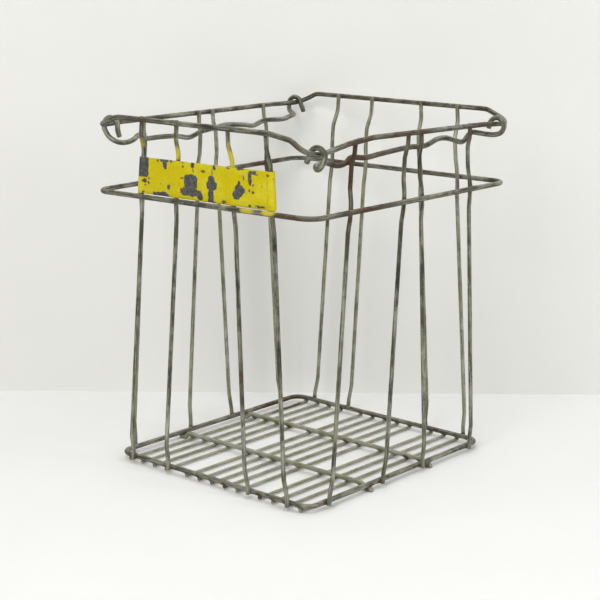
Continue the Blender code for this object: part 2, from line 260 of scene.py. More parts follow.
# Zinc looks, by the kind of wire: patches to a metre, brightness, olive, rust, dust with painted
# top light, grime.
ZINC_LOOKS = {
    "rings": (70.0, -0.27, 0.25, 0.23, 0.35, 0.3),
    "uprights_dull": (60.0, -0.24, 0.28, 0.18, 0.15, 0.3),
    "uprights_pale": (60.0, -0.02, 0.6, 0.13, 0.2, 0.3),
    "floor": (90.0, 0.34, 0.9, 0.1, 0.75, 0.12),
    "handles": (60.0, -0.2, 0.2, 0.22, 0.25, 0.0),
}
# Pale dust on top faces, which also stands for painted light falling on them.
DUST_AND_TOP_LIGHT_COLOUR = (0.46, 0.455, 0.36)
# Dark grime low down, also used as the colour of painted shade on faces that point down.
GRIME_AND_SHADE_COLOUR = (0.045, 0.04, 0.028)
GRIME_HEIGHT = 50.0
# How strongly faces that point down are darkened: painted shade.
UNDERSIDE_PAINTED_SHADE = 0.6
SHADED_PAINT = (0.46, 0.37, 0.002)

# Studio, in metres: the camera's place and aim, the wall behind the crate, and the lights.
CAMERA_PLACE = (0.917668, -1.075605, 0.467754)
CAMERA_AZIMUTH = 40.6
CAMERA_TILT = 12.815
CAMERA_ROLL = 0.426
CAMERA_LENS = 94.91
WALL_DISTANCE = 0.2
WALL_HALF = 2.5
WALL_HEIGHT = 2.4
FLOOR_HALF = 4.0
AIR_COLOUR = (0.95, 0.96, 0.95, 1.0)
AIR_STRENGTH = 0.2
# Each light: name, place (right, away, up) as the camera sees it, size, power, colour.
LIGHTS = (
    ("key_light", (-0.7, -1.7, 1.1), (0.8, 0.8), 18.0, (1.0, 0.99, 0.97)),
    ("top_light", (0.0, -0.6, 1.8), (1.2, 1.2), 12.5, (1.0, 1.0, 1.0)),
    ("fill_light", (1.5, -0.9, 0.9), (0.4, 1.0), 9.0, (0.97, 0.985, 1.0)),
)


def length(name, description, default, lowest=0.0):
    """A length that the panel shows, given in millimetres."""
    return FloatProperty(
        name=name,
        description=description,
        default=default * MM,
        min=lowest * MM,
        unit="LENGTH",
        subtype="DISTANCE",
        precision=5,
    )


def tint(name, description, default):
    """A colour that the panel shows."""
    return FloatVectorProperty(
        name=name, description=description, default=default, min=0.0, max=1.0, subtype="COLOR"
    )


class MilkCrateSizes(bpy.types.PropertyGroup):
    """Sizes of the crate's skin that can change without moving any wire."""

    ring_step: length("Ring Step", "Distance between the rings of faces along a wire", 1.3, 0.4)
    wire_sides: IntProperty(
        name="Wire Sides",
        description="Number of faces round a wire",
        default=14,
        min=8,
        max=32,
        subtype="UNSIGNED",
    )
    weld_pull: length("Weld Pull", "How far a weld draws a wire toward the one it crosses", 0.55)
    weld_swell: length("Weld Swell", "How far squeezed-out metal stands proud of a wire", 0.42)
    weld_width: length("Weld Width", "Radius of one weld", 2.5, 0.1)
    pitting: length("Pitting", "Depth of the small hollows in the zinc", 0.07)


class MilkCrateColours(bpy.types.PropertyGroup):
    """Colours of the finishes and of the studio."""

    zinc_light: tint("Light Zinc", "Bright side of the patina", (0.46, 0.46, 0.385))
    zinc_dark: tint("Dark Zinc", "Dull side of the patina", (0.034, 0.034, 0.025))
    olive: tint("Olive Tint", "Yellow-green cast of old zinc", (0.25, 0.25, 0.125))
    rust: tint("Rust", "Fresh rust", (0.085, 0.042, 0.02))
    deep_rust: tint("Deep Rust", "Old dark rust", (0.03, 0.018, 0.012))
    paint: tint("Paint", "Yellow of the name plate", (0.62, 0.51, 0.001))
    faded_paint: tint("Faded Paint", "Paler, duller yellow", (0.68, 0.60, 0.025))
    bare_steel: tint("Bare Steel", "Sheet under the paint", (0.155, 0.155, 0.155))
    floor: tint("Floor", "Studio floor", (0.89, 0.89, 0.875))
    wall: tint("Wall", "Studio wall", (0.80, 0.797, 0.772))


# Centre lines of the wires, in millimetres.


def arc_at(before, corner, after, radius, steps):
    """Points of the bend that replaces a corner, or the corner itself where it is straight."""
    to_before = (before - corner).normalized()
    to_after = (after - corner).normalized()
    turn = math.pi - to_before.angle(to_after)
    if turn < math.radians(1.0):
        return [corner]
    reach = radius * math.tan(turn / 2)
    reach = min(reach, BEND_SHARE * min((before - corner).length, (after - corner).length))
    radius = reach / math.tan(turn / 2)
    middle = corner + (to_before + to_after).normalized() * (radius / math.cos(turn / 2))
    start = corner + to_before * reach - middle
    end = corner + to_after * reach - middle
    return [middle + start.slerp(end, i / steps).normalized() * radius for i in range(steps + 1)]


def bent(points, radius, steps=8, closed=False):
    """The wire's centre line: a run of straight pieces with each corner rounded."""
    points = [Vector(p) for p in points]
    last = len(points) - 1
    line = []
    for i, point in enumerate(points):
        if not closed and i in (0, last):
            line.append(point)
            continue
        bend = radius[i] if isinstance(radius, list) else radius
        line += arc_at(points[i - 1], point, points[(i + 1) % len(points)], bend, steps)
    return line


def smooth_through(points, steps):
    """A Catmull-Rom curve through the points."""
    points = [Vector(p) for p in points]
    ends = [2 * points[0] - points[1]] + points + [2 * points[-1] - points[-2]]
    line = [points[0]]
    for a, b, c, d in zip(ends, ends[1:], ends[2:], ends[3:]):
        for i in range(1, steps + 1):
            t = i / steps
            line.append(
                0.5 * (2 * b + (c - a) * t + (2 * a - 5 * b + 4 * c - d) * t**2)
                + 0.5 * (3 * b - a - 3 * c + d) * t**3
            )
    return line


def corners_of(half):
    """Corners of a rectangle round the origin, from the front left one by way of the right."""
    x, y = half
    return (-x, -y), (x, -y), (x, y), (-x, y)


def ring_line(half, radius, height, dips=(0, 0, 0, 0)):
    """A level ring with round corners that may dip."""
    corners = [(*place, height + dip) for place, dip in zip(corners_of(half), dips)]
    return bent(corners, radius, steps=14, closed=True)


@functools.cache
def rim_line():
    """The top ring, from the front left corner by way of the front, right, back and left sides."""
    x, y = RIM_HALF
    sides = (
        [(along, -y, height) for along, height in RIM_FRONT],
        [(x, along, height) for along, height in RIM_RIGHT],
        [(along, y, height) for along, height in RIM_BACK],
        [(-x, along, height) for along, height in RIM_LEFT],
    )
    points, radii = [], []
    corners = zip(corners_of(RIM_HALF), RIM_CORNERS, RIM_CORNER_R, sides)
    for place, height, radius, side in corners:
        points += [(*place, height)] + side
        radii += [radius] + [RIM_BEND_R] * len(side)
    return bent(points, radii, steps=12, closed=True)


def rim_centre_at(side, y):
    """Where the rim's wire centre is on one of its long sides, at this y."""
    line = rim_line()
    for a, b in zip(line, line[1:] + line[:1]):
        on_side = min(side * a.x, side * b.x) > RIM_HALF[0] - min(RIM_CORNER_R)
        if on_side and min(a.y, b.y) <= y <= max(a.y, b.y) and a.y != b.y:
            return a.lerp(b, (y - a.y) / (b.y - a.y))
    raise ValueError(f"the rim has no wire at y {y}")


def post_offset(side, axis):
    """(height, distance out from the crate's middle) along an upright, from foot to tip."""
    reach = FRAME_R + GAP + UPRIGHT_R
    foot = BASE_HALF[axis] + reach
    hoop = HOOP_HALF[axis] - reach
    top = RIM_HALF[axis] - reach
    body = BODY_HALF[axis]
    neck = NECK_HALF[axis]
    rim_z = RIM_HIGH_Z if axis else RIM_LOW_Z
    steps = [
        (BASE_Z - FRAME_R, foot),
        (BASE_KINK_Z[0], foot),
        (BASE_KINK_Z[1], body),
        (HOOP_KINK_Z[0], body),
        (HOOP_KINK_Z[1], hoop),
    ]
    if side == "front":
        steps.append((PLATE_TOP_KINK_Z, hoop))
    else:
        steps += [(NECK_KINK_Z[0], hoop), (NECK_KINK_Z[1], neck), (NECK_KINK_Z[2], neck)]
    drop = 0 if axis else SIDE_RIM_KINK_DROP
    return steps + [(RIM_KINK_Z - drop, top), (rim_z + TIP_RISE, top)]


def post_along(side, sign, span, height):
    """Where along its side an upright stands at this height: it leans in as it rises."""
    low, high = span
    rise = (height - BASE_Z) / (RIM_HIGH_Z - BASE_Z)
    return sign * (low + (high - low) * rise) + SWAY[side] * rise


def post_place(side, along, out, height):
    return {
        "front": (along, -out, height),
        "back": (along, out, height),
        "left": (-out, along, height),
        "right": (out, along, height),
    }[side]


def floor_places():
    """X of each floor wire: a group of five in the middle and four on each side."""
    middle = [i * FLOOR_PITCH for i in range(-2, 3)]
    first = middle[-1] + FLOOR_GROUP_STEP
    right = [first + i * FLOOR_PITCH for i in range(4)]
    return [x + FLOOR_SHIFT for x in [-x for x in reversed(right)] + middle + right]


def hook_line(lean, tail, neck):
    """One hook from its tail's end to its neck: over the rim and down its outer side."""
    line = list(reversed(tail))
    for i in range(HOOK_STEPS + 1):
        angle = math.pi * i / HOOK_STEPS
        across = HOOK_R * math.cos(angle)
        line.append((lean * (1 + math.cos(angle)), across, HOOK_R * math.sin(angle)))
    return line + list(neck)


def handle_line(side, hooks, shapes, grip):
    """A bail's centre line, in the crate's own frame."""
    ends = [rim_centre_at(side, y) - Vector((0, 0, HOOK_HANG)) for y in hooks]
    length = (ends[1] - ends[0]).length
    front = hook_line(*shapes[0])
    back = [(length - x, y, z) for x, y, z in reversed(hook_line(*shapes[1]))]
    line = front + [(x, GRIP_IN, z) for x, z in grip] + back
    local = [Vector((-side * y, x - length / 2, z)) for x, y, z in line]
    along = (ends[1] - ends[0]).normalized()
    up = (Vector((0, 0, 1)) - along * along.z).normalized()
    turn = Matrix((along.cross(up), along, up)).transposed()
    middle = (ends[0] + ends[1]) / 2
    return [middle + turn @ point for point in smooth_through(local, 8)]


@functools.cache
def welded_wires():
    """{node: (centre line, radius, whether it closes on itself)} of every wire that is welded."""
    wires = {
        "top_rim": (rim_line(), FRAME_R, True),
        "middle_hoop": (ring_line(HOOP_HALF, HOOP_CORNER_R, HOOP_Z, HOOP_DIPS), FRAME_R, True),
        "base_frame": (ring_line(BASE_HALF, BASE_CORNER_R, BASE_Z), FRAME_R, True),
    }
    for side in ("front", "back", "left", "right"):
        axis = 1 if side in ("front", "back") else 0
        outer, inner = FRONT_POSTS if axis else SIDE_POSTS
        places = ((outer, -1), (inner, -1), (inner, 1), (outer, 1))
        for number, (span, sign) in enumerate(places, 1):
            line = [
                post_place(side, post_along(side, sign, span, height), out, height)
                for height, out in post_offset(side, axis)
            ]
            wires[f"upright_{side}_{number}"] = (bent(line, POST_BEND_R), UPRIGHT_R, False)
    end = BASE_HALF[1] + FLOOR_OVERHANG
    for number, x in enumerate(floor_places(), 1):
        line = [Vector((x, -end, FLOOR_Z)), Vector((x, end, FLOOR_Z))]
        wires[f"floor_wire_{number:02d}"] = (line, FLOOR_R, False)
    edge = BASE_HALF[0]
    outer, inner = (edge - joggle for joggle in CROSS_JOGGLE)
    half = [(edge + CROSS_OVERHANG, CROSS_FLAT), (outer, CROSS_FLAT), (inner, CROSS_Z)]
    for name, y in (("front", -CROSS_Y), ("back", CROSS_Y)):
        line = [(-x, y, z) for x, z in half] + [(x, y, z) for x, z in reversed(half)]
        wires[f"cross_bar_{name}"] = (bent(line, CROSS_BEND_R), CROSS_R, False)
    return wires


# Skin of the wires.


def spaced(line, step, closed):
    """The line's points again, at even distances, with its corners eased."""
    points = [Vector(p) for p in line]
    if closed:
        points.append(points[0].copy())
    marks = [0.0]
    for a, b in zip(points, points[1:]):
        marks.append(marks[-1] + (b - a).length)
    count = max(6, round(marks[-1] / step))
    places = np.linspace(0.0, marks[-1], count + 1)
    spots = np.stack([np.interp(places, marks, [p[k] for p in points]) for k in range(3)], 1)
    if closed:
        spots = spots[:-1]
        return (np.roll(spots, 1, 0) + 2 * spots + np.roll(spots, -1, 0)) / 4
    eased = spots.copy()
    eased[1:-1] = (spots[:-2] + 2 * spots[1:-1] + spots[2:]) / 4
    return eased


@functools.cache
def dense_lines():
    """Each welded wire's line at one-millimetre steps, for finding where wires meet."""
    return {name: spaced(line, 1.0, closed) for name, (line, _, closed) in welded_wires().items()}


def welds_of(name):
    """(place of the weld, direction toward the other wire) for each wire that this one crosses."""
    mine, radius = dense_lines()[name], welded_wires()[name][1]
    found = []
    for other, (_, other_radius, _) in welded_wires().items():
        reach = radius + other_radius + WELD_REACH
        theirs = dense_lines()[other]
        apart = (mine.min(0) > theirs.max(0) + reach) | (theirs.min(0) > mine.max(0) + reach)
        if other == name or apart.any():
            continue
        distance = np.linalg.norm(mine[:, None] - theirs[None], axis=2)
        nearest = distance.argmin(1)
        close = distance[np.arange(len(mine)), nearest]
        for i in np.argsort(close):
            if close[i] > reach:
                break
            a, b = mine[i], theirs[nearest[i]]
            known = [weld[2] for weld in found if weld[3] == other]
            if all(np.linalg.norm(a - centre) > WELD_SPACING for centre in known):
                toward = (b - a) / np.linalg.norm(b - a)
                found.append((a + toward * (radius + GAP / 2), toward, a, other))
    return [(place, toward) for place, toward, _, _ in found]


def directions(spots, closed):
    """Unit tangents along a line, and two unit vectors across it that don't twist."""
    if closed:
        tangents = np.roll(spots, -1, 0) - np.roll(spots, 1, 0)
    else:
        tangents = np.gradient(spots, axis=0)
    tangents /= np.linalg.norm(tangents, axis=1)[:, None]
    across = [np.array(Vector(tangents[0]).orthogonal().normalized())]
    for tangent in tangents[1:]:
        turned = across[-1] - tangent * across[-1].dot(tangent)
        across.append(turned / np.linalg.norm(turned))
    across = np.array(across)
    if closed:
        # The last ring is turned to meet the first, a little at a time.
        other = np.cross(tangents[0], across[0])
        miss = math.atan2(across[-1].dot(other), across[-1].dot(across[0]))
        share = -miss * np.arange(len(spots)) / len(spots)
        sideways = np.cross(tangents, across)
        across = across * np.cos(share)[:, None] + sideways * np.sin(share)[:, None]
    return tangents, across, np.cross(tangents, across)


def spread(points, marks):
    """How strongly each point is covered by soft round marks."""
    total = np.zeros(len(points))
    for place, reach, strength in marks:
        distance = np.linalg.norm(points - np.array(place), axis=1)
        total = np.maximum(total, strength * np.exp(-((distance / reach) ** 2)))
    return total


def roughened(points, outward, depth):
    """The points moved in and out by shallow hollows of two sizes."""
    coarse = np.array([noise.noise(Vector(p) / COARSE_PITS) for p in points])
    fine = np.array([noise.noise(Vector(p) / FINE_PITS) for p in points])
    return points + outward * (depth * (coarse + 0.6 * fine))[:, None]


def cut_ends(spots, radius, frames):
    """An open wire with narrower rings added past both ends, its radii, and the rings' axes."""
    tangents = frames[0]
    ends = []
    for end, sign in ((0, -1), (-1, 1)):
        steps = [(sign * depth, share) for depth, share in CUT_END]
        ends.append([(spots[end] + tangents[end] * radius * d, share) for d, share in steps])
    ends[0].reverse()
    shares = [s for _, s in ends[0]] + [1.0] * len(spots) + [s for _, s in ends[1]]
    longer = [p for p, _ in ends[0]] + list(spots) + [p for p, _ in ends[1]]
    pad = ((len(CUT_END), len(CUT_END)), (0, 0))
    return np.array(longer), radius * np.array(shares), [np.pad(v, pad, "edge") for v in frames]


def welded(points, outward, welds, sizes):
    """The points drawn toward each weld and swollen round it."""
    for place, toward in welds:
        size = 1.0 + 0.5 * noise.noise(Vector(place) / WELD_SIZE_SPAN)
        distance = np.linalg.norm(points - place, axis=1)
        near = np.exp(-((distance / (sizes.weld_width / MM * size)) ** 2))
        points += toward * (near * size * sizes.weld_pull / MM)[:, None]
        points += outward * (near * size * sizes.weld_swell / MM)[:, None]
    return points


def tube_faces(count, sides, closed):
    """Faces round a tube of rings; an open one ends in a point at each end."""
    faces = []
    for i in range(count if closed else count - 1):
        a, b = i * sides, (i + 1) % count * sides
        faces += [(a + j, a + (j + 1) % sides, b + (j + 1) % sides, b + j) for j in range(sides)]
    if not closed:
        first, last = count * sides, count * sides + 1
        b = (count - 1) * sides
        faces += [(first, (j + 1) % sides, j) for j in range(sides)]
        faces += [(last, b + j, b + (j + 1) % sides) for j in range(sides)]
    return faces


def sweep(name, line, radius, closed, welds, sizes):
    """A round wire's skin along its centre line, as a mesh that carries its marks."""
    step, sides = sizes.ring_step / MM, sizes.wire_sides
    spots = spaced(line, step, closed)
    if not closed:
        for end, inner in ((0, 1), (-1, -2)):
            inward = spots[inner] - spots[end]
            spots[end] += inward / np.linalg.norm(inward) * radius * CUT_TIP
    frames = directions(spots, closed)
    radii = np.full(len(spots), radius)
    if not closed:
        spots, radii, frames = cut_ends(spots, radius, frames)
    tangents, across, sideways = frames
    angles = np.linspace(0, 2 * math.pi, sides, endpoint=False)
    outward = (
        across[:, None] * np.cos(angles)[None, :, None]
        + sideways[:, None] * np.sin(angles)[None, :, None]
    )
    points = spots[:, None] + outward * radii[:, None, None]
    points, outward = points.reshape(-1, 3), outward.reshape(-1, 3)
    points = roughened(points, outward, sizes.pitting / MM)
    points = welded(points, outward, welds, sizes)
    count = len(spots)
    if not closed:
        reach = radius * (CUT_TIP - CUT_END[-1][0])
        tips = [spots[0] - tangents[0] * reach, spots[-1] + tangents[-1] * reach]
        points = np.vstack([points, *tips])
    # Where each point is round and along the wire, for streaks that follow it.
    run = np.zeros((len(points), 3))
    skin = run[: count * sides]
    skin[:, 0] = np.tile(np.cos(angles), count)
    skin[:, 1] = np.tile(np.sin(angles), count)
    skin[:, 2] = np.repeat(np.arange(count), sides) * step / STREAK_LENGTH
    run[:, 2] += noise.noise(Vector(line[0]) / STREAK_SHIFT_SPAN) * STREAK_SHIFT
    points[:, 2] = np.maximum(points[:, 2], 0.0)
    mesh = bpy.data.meshes.new(name)
    mesh.from_pydata((points * MM).tolist(), [], tube_faces(count, sides, closed))
    mesh.shade_smooth()
    burnt = [
        (place, WELD_RUST, 0.42 + 0.35 * noise.noise(Vector(place) / WELD_RUST_SPAN))
        for place, _ in welds
    ]
    mark(mesh, "rust", spread(points, [*RUST_STRETCHES, *burnt]))
    mark(mesh, "overspray", spread(points, OVERSPRAY))
    mark(mesh, "weld", spread(points, [(place, WELD_MARK, 1.0) for place, _ in welds]))
    streaks = mesh.attributes.new("run", "FLOAT_VECTOR", "POINT")
    streaks.data.foreach_set("vector", run.astype(np.float32).ravel())
    return mesh


def mark(mesh, name, values):
    """Writes one number for each vertex, which a finish can read."""
    attribute = mesh.attributes.new(name, "FLOAT", "POINT")
    attribute.data.foreach_set("value", np.asarray(values, np.float32))


def placed(name, mesh, look, node, body):
    """Puts a finished mesh in the scene in the place of its CAD node."""
    mesh.materials.append(look)
    obj = bpy.data.objects.new(name, mesh)
    bpy.context.scene.collection.objects.link(obj)
    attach(obj, body)
    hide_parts(node)
    return obj


def finish_welded(context, wanted, look):
    """Builds every welded wire whose name starts as wanted."""
    sizes = context.scene.milk_crate_sizes
    for node, (line, radius, closed) in welded_wires().items():
        if node.startswith(wanted):
            mesh = sweep(f"{node}_wire", line, radius, closed, welds_of(node), sizes)
            placed(mesh.name, mesh, look, node, "crate")


# Name plate.


def smooth_step(value):
    value = min(max(value, 0.0), 1.0)
    return value * value * (3 - 2 * value)


def plate_half(sign, height):
    """One half of the sheet's middle line in plan at this height, from its rolled end inward."""
    out = HOOP_HALF[1] - FRAME_R - GAP - UPRIGHT_R
    outer = post_along("front", sign, FRONT_POSTS[0], height)
    inner = post_along("front", sign, FRONT_POSTS[1], height)
    flat_y = -out - PLATE_ROLL_R + PLATE_SET_BACK
    ridge_y = -out - UPRIGHT_R - GAP - PLATE_SHEET / 2
    first = math.radians(PLATE_ROLL_START)
    last = 1.5 * math.pi + math.acos((PLATE_ROLL_R - PLATE_SET_BACK) / PLATE_ROLL_R)
    line = []
    for i in range(PLATE_ROLL_STEPS + 1):
        angle = first + (last - first) * i / PLATE_ROLL_STEPS
        across = PLATE_ROLL_R * math.cos(angle)
        line.append((outer - sign * across, -out + PLATE_ROLL_R * math.sin(angle)))
    start, middle = line[-1][0], post_along("front", 0, (0, 0), height)
    for i in range(1, PLATE_HALF_CELLS + 1):
        x = start + (middle - start) * i / (PLATE_HALF_CELLS + 0.5)
        crest = smooth_step(PLATE_CREST - abs(x - inner) / PLATE_RIDGE_HALF)
        line.append((x, flat_y + (ridge_y - flat_y) * crest))
    return line


def field(along, up, marks):
    """How deep inside the nearest of the marks a place on the plate is, from 0 outside to 1."""
    best = FAR_OUTSIDE
    for centre, level, half, rise, *squarer in marks:
        power = squarer[0] if squarer else 2
        u = abs(along - centre) / half
        v = abs(up - level) / rise
        inside = 1 - (u**power + v**power) ** (1 / power)
        best = max(best, inside * min(half * MARKED_LENGTH, rise * PLATE_HEIGHT))
    return min(max(0.5 + best / CHIP_SOFTNESS, 0.0), 1.0)


def sheet_faces(rows, count):
    """Faces of a sheet with two skins of points, the second skin's after the first's."""
    total = (rows + 1) * count
    faces = []
    for row in range(rows):
        for i in range(count - 1):
            a = row * count + i
            faces.append((a, a + 1, a + 1 + count, a + count))
            faces.append((total + a + count, total + a + count + 1, total + a + 1, total + a))
        for a, flip in ((row * count, False), (row * count + count - 1, True)):
            side = (a, a + count, total + a + count, total + a)
            faces.append(side[::-1] if flip else side)
    for i in range(count - 1):
        faces.append((total + i, total + i + 1, i + 1, i))
        top = rows * count + i
        faces.append((top, top + 1, total + top + 1, total + top))
    return faces


def build_plate():
    """The folded sheet with its dents, and the bare hollows where its paint has chipped away."""
    bottom = HOOP_Z + HOOP_DIPS[0] + FRAME_R + GAP + PLATE_TILT * HOOP_HALF[0] + PLATE_LIFT
    rows = round(PLATE_HEIGHT / PLATE_CELL)
    half = PLATE_SHEET / 2
    front, back, chip, rust = [], [], [], []
    for row in range(rows + 1):
        up = row / rows
        height = bottom + PLATE_HEIGHT * up
        middle = np.array(plate_half(-1, height) + plate_half(1, height)[::-1])
        left, right = middle[:, 0].min(), middle[:, 0].max()
        along = np.gradient(middle, axis=0)
        along /= np.linalg.norm(along, axis=1)[:, None]
        outward = np.stack([along[:, 1], -along[:, 0]], 1)
        for (x, y), (nx, ny) in zip(middle, outward):
            spot = Vector((x, height, y)) / CHIP_SPAN
            share = (x - left) / (right - left) + noise.noise(spot) * CHIP_WANDER[0]
            level = up + noise.noise(spot + Vector((9, 3, 5))) * CHIP_WANDER[1]
            # Only the side of the sheet that faces out is marked.
            marks = (CHIPS, RUST_MARKS) if ny < 0.2 else ((), ())
            worn, rusted = (field(share, level, wanted) for wanted in marks)
            wave = noise.noise(Vector((x / PLATE_EDGE_SPAN, 7.0, 2.0)))
            z = height + PLATE_TILT * x + PLATE_EDGE_WAVE * wave * (2 * up - 1)
            spot = Vector((x / PLATE_DENT_SPAN, height / PLATE_DENT_SPAN, 3.0))
            dent = PLATE_DENT * noise.noise(spot)
            skin = half - PAINT_THICKNESS * smooth_step((worn - 0.35) / 0.3)
            front.append((x + nx * skin, y + ny * skin + dent, z))
            back.append((x - nx * half, y - ny * half + dent, z))
            chip.append(worn)
            rust.append(rusted)
    count = len(front) // (rows + 1)
    mesh = bpy.data.meshes.new("name_plate_sheet")
    points = [tuple(c * MM for c in p) for p in front + back]
    mesh.from_pydata(points, [], sheet_faces(rows, count))
    mesh.shade_smooth()
    mark(mesh, "chip", chip + [0.35] * len(back))
    mark(mesh, "rust", rust + [0.3] * len(back))
    return mesh


# Finishes.


def add_node(tree, kind, values=None, **settings):
    """One node with its settings; each socket is fed by a value or by another node's socket."""
    node = tree.nodes.new(kind)
    for key, value in settings.items():
        setattr(node, key, value)
    for socket, value in (values or {}).items():
        target = node.inputs[socket]
        if isinstance(value, bpy.types.NodeSocket):
            tree.links.new(value, target)
        elif target.type == "RGBA":
            target.default_value = (*value, 1.0)
        else:
            target.default_value = value
    return node


def maths(tree, operation, a, b=0.0, clamp=False):
    node = add_node(tree, "ShaderNodeMath", {0: a, 1: b}, operation=operation, use_clamp=clamp)
    return node.outputs[0]


def add(tree, a, b, clamp=False):
    return maths(tree, "ADD", a, b, clamp)


def times(tree, a, b):
    return maths(tree, "MULTIPLY", a, b)


def mixture(tree, a, share_a, b, share_b):
    """Two masks added, each with its own share."""
    return add(tree, times(tree, a, share_a), times(tree, b, share_b))


def blend(tree, factor, a, b):
    """A colour between two, by a mask."""
    node = add_node(tree, "ShaderNodeMix", {0: factor, 6: a, 7: b}, data_type="RGBA")
    return node.outputs[2]


def clouds(tree, vector, scale, detail=3.0, roughness=0.6, distortion=0.0):
    values = {
        "Vector": vector,
        "Scale": scale,
        "Detail": detail,
        "Roughness": roughness,
        "Distortion": distortion,
    }
    return add_node(tree, "ShaderNodeTexNoise", values).outputs["Fac"]


def stretch(tree, value, low, high, to_low=0.0, to_high=1.0):
    """A mask's run from low to high, spread over a new run."""
    values = {"Value": value, "From Min": low, "From Max": high}
    values |= {"To Min": to_low, "To Max": to_high}
    return add_node(tree, "ShaderNodeMapRange", values, clamp=True).outputs[0]


def part_of(tree, vector, axis):
    return add_node(tree, "ShaderNodeSeparateXYZ", {0: vector}).outputs[axis]


def new_group(name, inputs, outputs):
    """An empty shader group with these sockets, and its input and output nodes."""
    group = bpy.data.node_groups.new(name, "ShaderNodeTree")
    for in_out, kinds in (("INPUT", inputs), ("OUTPUT", outputs)):
        for kind, sockets in kinds.items():
            for socket in sockets:
                kind_name = f"NodeSocket{kind}"
                group.interface.new_socket(socket, in_out=in_out, socket_type=kind_name)
    given = group.nodes.new("NodeGroupInput").outputs
    made = group.nodes.new("NodeGroupOutput").inputs
    return group, given, made


def put_out(group, made, results):
    for socket, value in results.items():
        group.links.new(value, made[socket])


@functools.cache
def patina_group():
    """Old zinc: bright and dull patches, an olive cast, rust and stray paint, with painted floor
    light that makes low wires paler.
    """
    group, given, made = new_group(
        "zinc_patina",
        {
            "Vector": ("Vector", "Run"),
            "Float": ("Patch Scale", "Brightness", "Olive", "Rust", "Overspray", "Weld"),
            "Color": ("Light", "Dark", "Olive Colour", "Rust Colour", "Deep Rust", "Paint"),
        },
        {"Color": ("Colour",), "Float": ("Roughness", "Metallic", "Height")},
    )
    scale = given["Patch Scale"]
    place = given["Vector"]
    patches = clouds(group, place, scale, 4.0, 0.6, 0.3)
    specks = clouds(group, place, times(group, scale, 7.0), 3.0, 0.7)
    cast = clouds(group, place, times(group, scale, 0.4), 2.0, 0.5)
    streaks = clouds(group, given["Run"], 1.5, 4.0, 0.6)
    mixed = mixture(group, patches, 0.75, specks, 0.25)
    drawn = mixture(group, mixed, 0.45, streaks, 0.55)
    # Painted floor light: wires are paler where they stand low, as if lit from below by the white
    # floor.
    painted_floor_light = stretch(group, part_of(group, place, "Z"), 0.02, 0.11, 0.22, 0.0)
    # worn carries each kind's brightness plus this painted floor light.
    worn = add(group, given["Brightness"], painted_floor_light)
    lightness = add(group, stretch(group, drawn, 0.41, 0.6), worn, True)
    zinc = blend(group, lightness, given["Dark"], given["Light"])
    olive = times(group, stretch(group, cast, 0.35, 0.65), given["Olive"])
    zinc = blend(group, olive, zinc, given["Olive Colour"])
    burnt = times(group, given["Weld"], stretch(group, specks, 0.4, 0.6, 0.25, 0.75))
    zinc = blend(group, burnt, zinc, given["Dark"])
    rusted = stretch(group, mixture(group, given["Rust"], 1.2, mixed, 1.1), 1.0, 1.22)
    patchy = stretch(group, specks, 0.35, 0.6)
    oxide = blend(group, patchy, given["Deep Rust"], given["Rust Colour"])
    colour = blend(group, rusted, zinc, oxide)
    sprayed = mixture(group, given["Overspray"], 1.1, patches, 0.6)
    painted = stretch(group, sprayed, 0.86, 1.12, 0.0, 0.88)
    shine = stretch(group, drawn, 0.4, 0.62, 0.46, 0.27)
    covered = maths(group, "MAXIMUM", rusted, painted)
    bumps = mixture(group, specks, 0.6, rusted, 0.5)
    results = {
        "Colour": blend(group, painted, colour, given["Paint"]),
        "Roughness": add(group, shine, times(group, rusted, 0.36), True),
        "Metallic": stretch(group, covered, 0.0, 1.0, 0.5, 0.03),
        "Height": add(group, bumps, times(group, painted, 0.6)),
    }
    put_out(group, made, results)
    return group


@functools.cache
def dust_and_painted_light_group():
    """Pale dust on what faces up, which also paints light on top faces; grime that gathers low
    down; and painted shade on what faces down.
    """
    group, given, made = new_group(
        "dust_grime_and_painted_light",
        {
            "Vector": ("Vector",),
            "Color": ("Colour", "Dust And Top Light Colour", "Grime And Shade Colour"),
            "Float": ("Roughness", "Dust And Top Light", "Grime", "Painted Underside Shade", "Grime Height"),
        },
        {"Color": ("Colour",), "Float": ("Roughness",)},
    )
    place = given["Vector"]
    facing = part_of(group, add_node(group, "ShaderNodeNewGeometry").outputs["Normal"], "Z")
    uneven = stretch(group, clouds(group, place, 170.0, 4.0, 0.65), 0.4, 0.62)
    # Pale dust on faces that point up, which also paints them lighter as if lit from above.
    dust_and_top_light = times(group, stretch(group, facing, 0.2, 0.95), uneven)
    dust_and_top_light = times(group, dust_and_top_light, given["Dust And Top Light"])
    share = maths(group, "DIVIDE", part_of(group, place, "Z"), given["Grime Height"])
    low = maths(group, "SUBTRACT", 1.0, share, True)
    patchy = stretch(group, clouds(group, place, 95.0), 0.35, 0.6)
    grime = times(group, times(group, low, patchy), given["Grime"])
    # Painted shade: faces that point down are darkened toward the grime colour, as shade beneath
    # the wires.
    underside_shade = times(group, stretch(group, facing, -0.1, -0.85), given["Painted Underside Shade"])
    # From here grime holds both the low grime and the painted underside shade.
    grime = maths(group, "MAXIMUM", grime, underside_shade)
    colour = blend(group, grime, given["Colour"], given["Grime And Shade Colour"])
    dull = mixture(group, dust_and_top_light, 0.4, grime, 0.25)
    results = {
        "Colour": blend(group, dust_and_top_light, colour, given["Dust And Top Light Colour"]),
        "Roughness": add(group, given["Roughness"], dull, True),
    }
    put_out(group, made, results)
    return group


